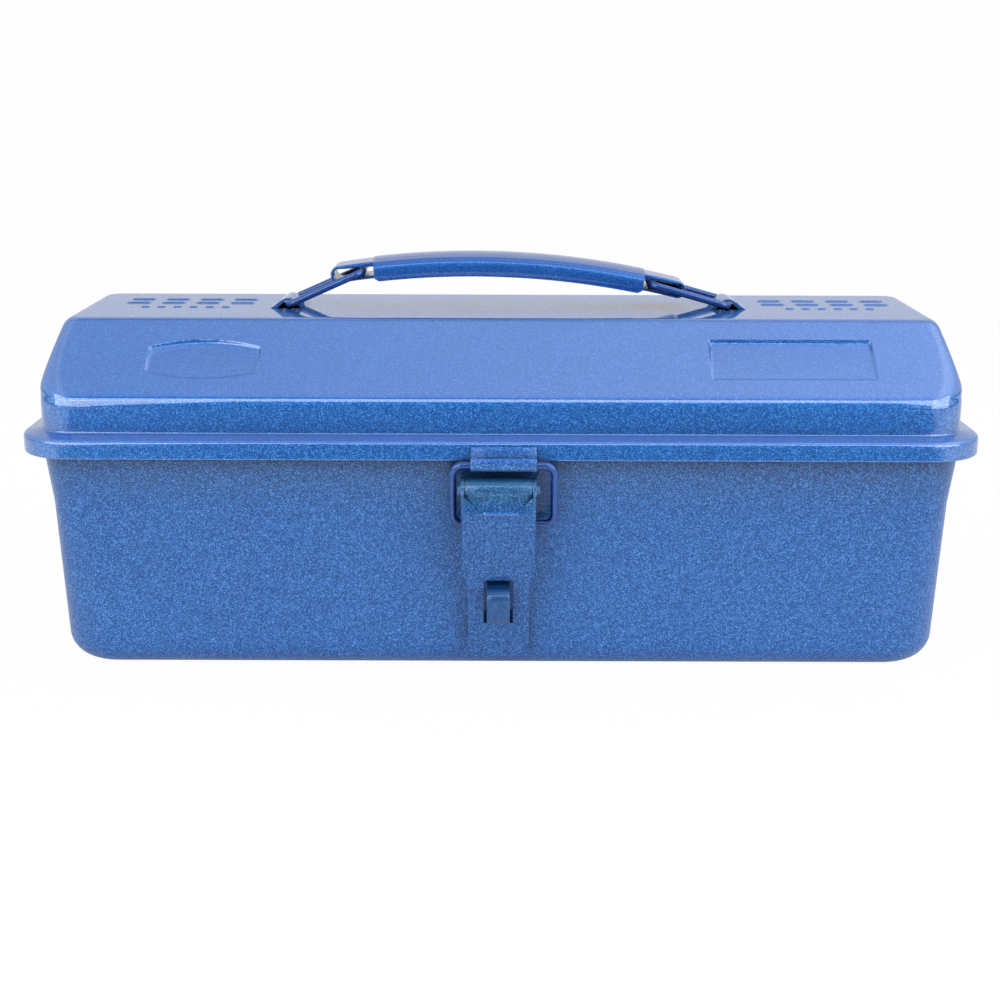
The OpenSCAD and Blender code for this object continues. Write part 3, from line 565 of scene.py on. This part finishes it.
# %% [markdown]
# ## Eyelets
# Each eyelet is a small tunnel of the roof's own sheet, pressed up until it tore free at its
# two mouths. Its sides flow out of the roof, and only the mouths have edges. A surface over a
# grid suits that: a bell curve gives the height, and the same grid one sheet lower, run back
# underneath, closes it. A boolean tunnel would leave a hard line all round its foot.


# %% Eyelet tunnels
TUNNEL_HIGH, TUNNEL_REACH = 4.3, 7.4
TUNNEL_COLUMNS, TUNNEL_ROWS = 28, 10
ABOVE_ROOF = 0.012


def bell(u, high):
    """Height at u, which runs from -1 to 1 across the tunnel."""
    return high * (0.5 + 0.5 * math.cos(math.pi * min(1.0, abs(u)))) ** 0.72


def tunnel(name, x):
    made = bmesh.new()
    across = [2 * i / TUNNEL_COLUMNS - 1 for i in range(TUNNEL_COLUMNS + 1)]
    rows = []
    for j in range(TUNNEL_ROWS + 1):
        v = 2 * j / TUNNEL_ROWS - 1
        y = v * EYELET_LEN / 2
        lift = TUNNEL_HIGH * (1 - 0.05 * v * v)
        over = [(x + TUNNEL_REACH * u, y, ROOF_Z + ABOVE_ROOF + bell(u, lift)) for u in across]
        below = [
            (px * 0.9 + x * 0.1, py, max(ROOF_Z - SHEET * 0.5, pz - SHEET * 1.02))
            for px, py, pz in over
        ]
        rows.append([made.verts.new([c * MM for c in p]) for p in over + below[::-1]])
    for a, b in zip(rows, rows[1:]):
        for i in range(len(a)):
            k = (i + 1) % len(a)
            made.faces.new((a[i], a[k], b[k], b[i]))
    for row in (rows[0], rows[-1]):
        for i in range(TUNNEL_COLUMNS):
            made.faces.new((row[i], row[i + 1], row[-2 - i], row[-1 - i]))
    return piece(name, made, "lid", lid_enamel, 40)


for side, x in zip(("left", "right"), EYELETS):
    tunnel(f"eyelet_{side}", x)

# %% [markdown]
# ## Pressed beads
# Thin sheet is stiffened by beads: shallow mounds pressed up from behind. The roof has three
# rows of short ones at each end. Displacement could raise them, but it needs a very fine
# mesh all over the roof. A mound whose height follows a cosine starts level with the sheet,
# so its gloss runs into the sheet's without an edge.


# %% A mound
MOUND_RINGS = (1.0, 0.88, 0.74, 0.58, 0.4, 0.2, 0.06)
MOUND_STEPS = 24


def mound(made, x, y, half_len, radius, lay, height):
    """A pressed bar with round ends; lay puts a point on the sheet it is pressed from."""
    rows = []
    for k in MOUND_RINGS:
        up = height * (0.5 + 0.5 * math.cos(math.pi * k ** 1.3)) + 0.008
        row = []
        for i in range(MOUND_STEPS):
            a = math.radians(360 * (i + 0.5) / MOUND_STEPS)
            shift = half_len if math.cos(a) > 0 else -half_len
            across, along = shift + radius * k * math.cos(a), radius * k * math.sin(a)
            row.append(made.verts.new(lay(x + across, y + along, up)))
        rows.append(row)
    for a, b in zip(rows, rows[1:]):
        for i in range(MOUND_STEPS):
            j = (i + 1) % MOUND_STEPS
            made.faces.new((a[i], a[j], b[j], b[i]))
    made.faces.new(rows[-1])


def on_roof(x, y, up):
    return (x * MM, y * MM, (ROOF_Z + up) * MM)


# %% Beads on the roof
BEAD_GROUPS = (-126, 131)
BEAD_PITCH, SHORT_PITCH = 14, 6.4

made = bmesh.new()
for x in BEAD_GROUPS:
    for i in range(4):
        for y in (15.5, 5.5):
            mound(made, x + (i - 1.5) * BEAD_PITCH, y, 3.6, 1.9, on_roof, 0.55)
    for i in range(6):
        mound(made, x + (i - 2.5) * SHORT_PITCH, -6, 0.8, 1.4, on_roof, 0.45)
piece("roof_beads", made, "lid", lid_enamel, 60)

# %% [markdown]
# ## The body's sheet
# The tub is drawn in one go: flat floor, round foot, walls that lean out a little, a crease
# where they lean out more, and a top edge rolled outwards into a curl, which makes it stiff
# and safe to touch. It is lofted as the lid was, with fuller corners at the foot than at the
# top. The crease gets a few rings close together, so that it catches a soft line of light.

# %% Body sheet
BODY_CORNER = 16.0
FOOT_IN, FLOOR_R, FOOT_CORNER = 3.0, 10.5, 21.5
CREASE_IN, CREASE_Z, WALL_TOP = 2.4, 64.2, 82.5
CURL = (2.2, 87.73)


def body_rings(e):
    """Rings from the floor up to the end of the curl, e further in."""
    foot = arc((-FOOT_IN - FLOOR_R, FLOOR_R), FLOOR_R - e, -90, 0, 12)
    rise = (CREASE_IN - FOOT_IN) / (CREASE_Z - FLOOR_R)
    lean = CREASE_IN / (WALL_TOP - CREASE_Z)
    path = [(foot[0][0] - 3, foot[0][1]), (foot[0][0] - HOLD, foot[0][1])] + foot
    path.append((-FOOT_IN - e - rise * HOLD, FLOOR_R + HOLD))
    for dz in (-1.6, -0.5, 0, 0.5, 1.6):
        gain = lean * dz if dz > 0 else -rise * dz
        path.append((-CREASE_IN - e + gain, CREASE_Z + dz))
    path += [(-e - lean * 0.6, WALL_TOP - 0.6), (-e, WALL_TOP), (-e, WALL_TOP + 0.6)]
    path += [(-e, CURL[1] - 0.8)] + arc(CURL, CURL[0] + e, 180, -80, 22)
    extra = FOOT_CORNER - BODY_CORNER + FOOT_IN
    fuller = [extra * max(0, min(1, (CREASE_Z - p[1]) / (CREASE_Z - FLOOR_R))) for p in path]
    return [(LID_W + p[0], LID_D + p[0], BODY_CORNER + p[0] + f, p[1]) for p, f in zip(path, fuller)]


levels = body_rings(0) + body_rings(SHEET)[::-1]
made, rows = loft([ring(*level) for level in levels])
for row in (rows[0], rows[-1]):
    made.faces.new(row)
body_sheet = piece("body_sheet", made, "body", body_enamel)
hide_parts("body_shell")

# %% [markdown]
# ## The grip
# The handle is one strip of sheet. Its middle is folded down along both edges into a channel
# that is kind to the fingers, and bowed a little upwards. Each end is a narrower strip that
# curls round the cross bar of a wire link and runs back as a short tongue. A section swept
# along a path draws both: the same fold, deep for the channel and shallow for the strips.


# %% Folded strips
def folded(half_w, depth, shoulder, crown, t):
    """Section of a strip with its edges folded down, as (across, down) round its outline."""
    def face(inset):
        r = max(shoulder - inset, 0.15)
        side = half_w - inset
        bend = arc((-half_w + shoulder, 0), r, 180, 92, 6)
        corner = [(p[0], shoulder + crown - p[1]) for p in bend]
        reach = half_w - shoulder
        places = [reach * (i / 5 - 1) * 0.92 for i in range(11)]
        flat = [(c, inset + crown * (c / reach) ** 2) for c in places]
        left = [(-side, depth - 0.35), (-side, shoulder + crown + 0.4)] + corner
        return left + flat + [(-a, d) for a, d in left[::-1]]

    over, under = face(0), face(t)
    lip = [(-half_w + 0.15, depth - 0.08), (-half_w + t / 2, depth), (-half_w + t - 0.15, depth - 0.08)]
    other_lip = [(-a, d) for a, d in lip]
    return [lip[1], lip[0]] + over + other_lip + under[::-1] + [lip[2]]


def sweep(made, path, sections):
    """Sections along a path of (x, z, normal x, normal z), closed at both ends."""
    rows = []
    for (x, z, nx, nz), section in zip(path, sections):
        placed = [handle_place(x - nx * down, across, z - nz * down) for across, down in section]
        rows.append([made.verts.new(p) for p in placed])
    for a, b in zip(rows, rows[1:]):
        for i in range(len(a)):
            j = (i + 1) % len(a)
            made.faces.new((a[i], a[j], b[j], b[i]))
    for row in (rows[0], rows[-1]):
        for i in range(len(row) // 2 - 1):
            a, b, c, d = row[1 + i], row[2 + i], row[-1 - i], row[-i]
            made.faces.new((a, b, c, d) if len({a, b, c, d}) == 4 else (a, b, c))


HANDLE_X, GRIP_Z, GRIP_TILT = 2.8, 141.6, math.radians(2.4)
ARCH_R, GRIP_TOP, GRIP_T = 340.0, 10.0, 1.1
CHANNEL_END, HOOK_END, CHANNEL_LIFT = 9.087, 11.513, 0.8
CHANNEL_HALF_W, CHANNEL_DEEP, CHANNEL_SHOULDER, CHANNEL_CROWN = 13, 8.6, 3.2, 1.0
CUT_R, CHANNEL_STEPS = 1.1, 32
HOOK_STEP, CURL_R = 0.15, 3.3
STRIP_HALF_W, STRIP_DEEP = 8.8, 1.15


def handle_place(x, y, z):
    """From the grip's own frame into the model's."""
    return (
        (HANDLE_X + x * math.cos(GRIP_TILT) + z * math.sin(GRIP_TILT)) * MM,
        y * MM,
        (GRIP_Z - x * math.sin(GRIP_TILT) + z * math.cos(GRIP_TILT)) * MM,
    )


def on_arch(degrees, below=0.0):
    a = math.radians(degrees)
    r = ARCH_R - below
    return (r * math.sin(a), GRIP_TOP - ARCH_R + r * math.cos(a), math.sin(a), math.cos(a))


# %% The grip itself
def thin_strip():
    return folded(STRIP_HALF_W, STRIP_DEEP, 0.5, 0.0, GRIP_T)


made = bmesh.new()
path, sections = [], []
for i in range(2 * CHANNEL_STEPS + 1):
    degrees = CHANNEL_END * (i / CHANNEL_STEPS - 1)
    from_end = math.radians(CHANNEL_END - abs(degrees)) * ARCH_R
    cut = CUT_R - math.sqrt(max(0, CUT_R ** 2 - max(0, CUT_R - from_end) ** 2))
    path.append(on_arch(degrees, -CHANNEL_LIFT))
    sections.append(folded(CHANNEL_HALF_W, CHANNEL_DEEP - cut, CHANNEL_SHOULDER, CHANNEL_CROWN, GRIP_T))
sweep(made, path, sections)

for end in (-1, 1):
    path, sections = [], []
    for i in range(9):
        k = i / 8
        degrees = CHANNEL_END - 0.7 + (HOOK_END - CHANNEL_END + 0.7) * k
        path.append(on_arch(end * degrees, HOOK_STEP))
        sections.append(folded(STRIP_HALF_W, STRIP_DEEP + (1 - k) ** 0.6, 0.7, 0.05, GRIP_T))
    x, z, nx, nz = path[-1]
    centre = (x - nx * CURL_R, z - nz * CURL_R)
    for i in range(1, 13):
        a = math.atan2(nz, nx) - end * math.pi * i / 12
        out, up = math.cos(a), math.sin(a)
        path.append((centre[0] + CURL_R * out, centre[1] + CURL_R * up, out, up))
        sections.append(thin_strip())
    for i in range(1, 7):
        degrees = HOOK_END - (HOOK_END - CHANNEL_END + 1) * i / 6
        x, z, nx, nz = on_arch(end * degrees, HOOK_STEP + 2 * CURL_R)
        path.append((x, z, -nx, -nz))
        sections.append(thin_strip())
    sweep(made, path, sections)
grip = piece("grip_channel", made, "grip", grip_enamel, 40)
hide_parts("handle_grip")

# %% [markdown]
# ## Parts kept from the CAD model
# The wires, the latch and the hinges already have their right shapes, so they stay and only
# get better edges and finishes. The import splits points at every crease, so a Weld joins
# them before a Bevel takes the sharpness off: no edge of sprayed sheet is knife sharp. The
# lever also has a short pressed crease under its hood, which is laid on its flat front as
# the beads were laid on the roof.

# %% Edges and finishes of the kept nodes
SHARP = 38
# each node's finish, and how far its edges are rounded in millimetres
kept = {
    "latch_lever": (latch_enamel, 0.4),
    "latch_base": (latch_enamel, 0.25),
    "latch_keeper": (keeper_enamel, 0.25),
    "padlock_staple": (staple_enamel, 0.3),
    "latch_bail": (wire_enamel, 0.0),
    "latch_pin": (pin_enamel, 0.25),
    "latch_rivets": (latch_enamel, 0.25),
    "handle_link_left": (wire_enamel, 0.0),
    "handle_link_right": (wire_enamel, 0.0),
    "hinge_pin_left": (pin_enamel, 0.2),
    "hinge_pin_right": (pin_enamel, 0.2),
    "hinge_rivets": (body_enamel, 0.25),
}
for name in nodes:
    if name.startswith("hinge_") and name not in kept:
        kept[name] = (body_enamel, 0.25)


def finish_node(name, material, edge):
    shown = nodes[name]
    for slot in shown.material_slots:
        slot.material = material
    weld = shown.modifiers.new("weld", "WELD")
    weld.merge_threshold = 0.000002
    if edge:
        soften = shown.modifiers.new("edges", "BEVEL")
        soften.width = edge * MM
        soften.segments = 2
        soften.limit_method = "ANGLE"
        soften.angle_limit = math.radians(SHARP)
    shown.data.polygons.foreach_set("use_smooth", [True] * len(shown.data.polygons))
    shown.data.set_sharp_from_angle(angle=math.radians(SHARP))


for name, (material, edge) in kept.items():
    if name in nodes:
        finish_node(name, material, edge)
print("kept nodes:", sorted(set(nodes) & set(kept)))
print("not yet dressed:", sorted(set(nodes) - set(kept) - {"lid_shell", "body_shell", "handle_grip"}))

# %% The crease under the hood
# sine and cosine of the 11.75 degrees by which the lever's front leans out
LEAN_Y, LEAN_Z = 0.2036, 0.979
PRESSED_Y, PRESSED_Z = -82.22, 66.5


def on_lever(x, along, up):
    """A place on the lever's flat front, which leans out towards its top."""
    y = PRESSED_Y - LEAN_Y * along - LEAN_Z * up
    z = PRESSED_Z + LEAN_Z * along - LEAN_Y * up
    return (x * MM, y * MM, z * MM)


# the crease wears the lid's paler, glossier enamel, not the lever's: a painted highlight along it
made = bmesh.new()
mound(made, 0, 0, 5.6, 0.85, on_lever, 0.34)
piece("lever_crease", made, "lever", lid_enamel, 60)

# %% [markdown]
# ## Floor, backdrop and light
# The photograph is a cut-out look: white floor, white background, hardly a shadow. A lamp
# strong enough to burn a grey floor out would burn the box out too, so the floor glows
# white for the camera's own rays, also through something clear. A small share of it stays
# a painted surface, and that share keeps the soft shadow. The gloss of the box sees a
# different floor, as in a studio where the table is lit in places: bright beside and behind
# the box, and dark in a strip in front, which is what draws the deep blue of the upright
# faces.

# %% Floor
GLOW_FOR_CAMERA, GLOW_THROUGH = 0.965, 0.94
DARK_STRIP, BEHIND, BESIDE = (-0.375, -0.33), (-0.05, 0.2), (0.34, 0.44)

floor_finish = Finish("studio_floor")
tree = floor_finish.tree
camera_ray = floor_finish.node("ShaderNodeLightPath", out="Is Camera Ray")
rays = camera_ray.socket.node.outputs
glossy = Value(floor_finish, rays["Is Glossy Ray"])
through = Value(floor_finish, rays["Is Transmission Ray"])
forward = floor_finish.part(floor_finish.place, 1)
near = forward.ramp(*DARK_STRIP)
far = forward.ramp(*BEHIND)
beside = floor_finish.part(floor_finish.place, 0).size().ramp(*BESIDE)
bright = near * 0.3 + far * 0.3 + beside * (1 - far) * 0.65
seen = (camera_ray * GLOW_FOR_CAMERA).larger(glossy * bright).larger(through * GLOW_THROUGH)
paper = floor_finish.noise(60, 3).ramp(0.3, 0.7)
sheet_tone = floor_finish.mix(paper, (0.8, 0.8, 0.82, 1), (0.84, 0.84, 0.86, 1))
floor_finish.feed(
    Base_Color=floor_finish.mix(near, (0.05, 0.055, 0.07, 1), sheet_tone),
    Roughness=paper * 0.1 + 0.6,
)
glow = tree.nodes.new("ShaderNodeEmission")
glow.inputs["Color"].default_value = (1, 1, 1, 1)
glow.inputs["Strength"].default_value = 1
blend = tree.nodes.new("ShaderNodeMixShader")
tree.links.new(seen.socket, blend.inputs[0])
tree.links.new(floor_finish.shader.outputs[0], blend.inputs[1])
tree.links.new(glow.outputs[0], blend.inputs[2])
tree.links.new(blend.outputs[0], floor_finish.output.inputs[0])

FLOOR_FRONT, FLOOR_BACK, FLOOR_HALF_W, SWEEP_R, BACKDROP_TOP = -1.6, 1.2, 2.6, 0.6, 2.6
UNDER_BOX = 0.0001

made = bmesh.new()
profile = [(FLOOR_FRONT, 0.0), (FLOOR_BACK, 0.0)] + arc((FLOOR_BACK, SWEEP_R), SWEEP_R, -90, 0, 10)
profile.append((FLOOR_BACK + SWEEP_R, BACKDROP_TOP))
rows = []
for y, z in profile:
    rows.append([made.verts.new((x, y, z - UNDER_BOX)) for x in (-FLOOR_HALF_W, FLOOR_HALF_W)])
for a, b in zip(rows, rows[1:]):
    made.faces.new((a[0], a[1], b[1], b[0]))
mesh = bpy.data.meshes.new("studio_floor")
made.to_mesh(mesh)
made.free()
mesh.materials.append(floor_finish.material)
mesh.polygons.foreach_set("use_smooth", [True] * len(mesh.polygons))
floor = bpy.data.objects.new("studio_floor", mesh)
bpy.context.scene.collection.objects.link(floor)
print("floor and backdrop in one sweep")

# %% [markdown]
# ## A tent of light
# Shiny sheet looks like what stands round it. Here that is a tent: pale cloth on both
# sides, which gives the ends of the box their light rims, and a dim room in front and
# behind. The world is coloured by the direction one looks in, and is white for the camera.
# One large lamp hangs overhead, a little to the right and leaning towards the middle, and
# makes the roof and the slopes pale. Three smaller ones in front draw the lines of light
# along the bends and the flange. An environment picture could do this too, but it would be
# one more file, and this script reads only model.glb.

# %% World and lamps
class Sky(Finish):
    """The world's nodes; its place is the direction in which one looks."""

    def __init__(self, world):
        self.tree = world.node_tree
        self.place = self.node("ShaderNodeTexCoord", out="Generated")


DIM_ROOM, PALE_CLOTH, WHITE = (0.11, 0.11, 0.125, 1), (0.96, 0.97, 0.98, 1), (1, 1, 1, 1)
world = bpy.data.worlds.new("studio")
bpy.context.scene.world = world
world.use_nodes = True
sky = Sky(world)
aside = sky.part(sky.place, 0).size().ramp(0.22, 0.5)
upward = sky.part(sky.place, 2).ramp(-0.05, 0.25)
tent = sky.mix(aside * upward, DIM_ROOM, PALE_CLOTH)
tent = sky.mix(sky.node("ShaderNodeLightPath", out="Is Camera Ray"), tent, WHITE)
backdrop = world.node_tree.nodes["Background"]
world.node_tree.links.new(tent.socket, backdrop.inputs["Color"])
backdrop.inputs["Strength"].default_value = 1


def lamp(name, place, target, size, power, spread=180):
    data = bpy.data.lights.new(name, "AREA")
    data.shape = "RECTANGLE"
    data.size, data.size_y = size
    data.energy = power
    data.spread = math.radians(spread)
    shown = bpy.data.objects.new(name, data)
    bpy.context.scene.collection.objects.link(shown)
    shown.location = place
    aim = Vector(target) - Vector(place)
    shown.rotation_euler = aim.to_track_quat("-Z", "Y").to_euler()
    return shown


above = lamp("overhead_box", (0.4, 0.0, 1.6), (0.4, 0, 0), (3.6, 2.0), 8, spread=100)
above.rotation_euler = (0, math.radians(15), 0)
above.data.color = (0.96, 0.99, 1.05)
lamp("front_top", (0.1, -1.3, 1.3), (0, 0, 0.1), (2.0, 0.5), 8)
lamp("front_left", (-1.1, -1.2, 0.62), (0, 0, 0.1), (1.6, 1.1), 12)
lamp("front_right", (1.2, -1.05, 0.62), (0, 0, 0.1), (1.5, 1.1), 11)
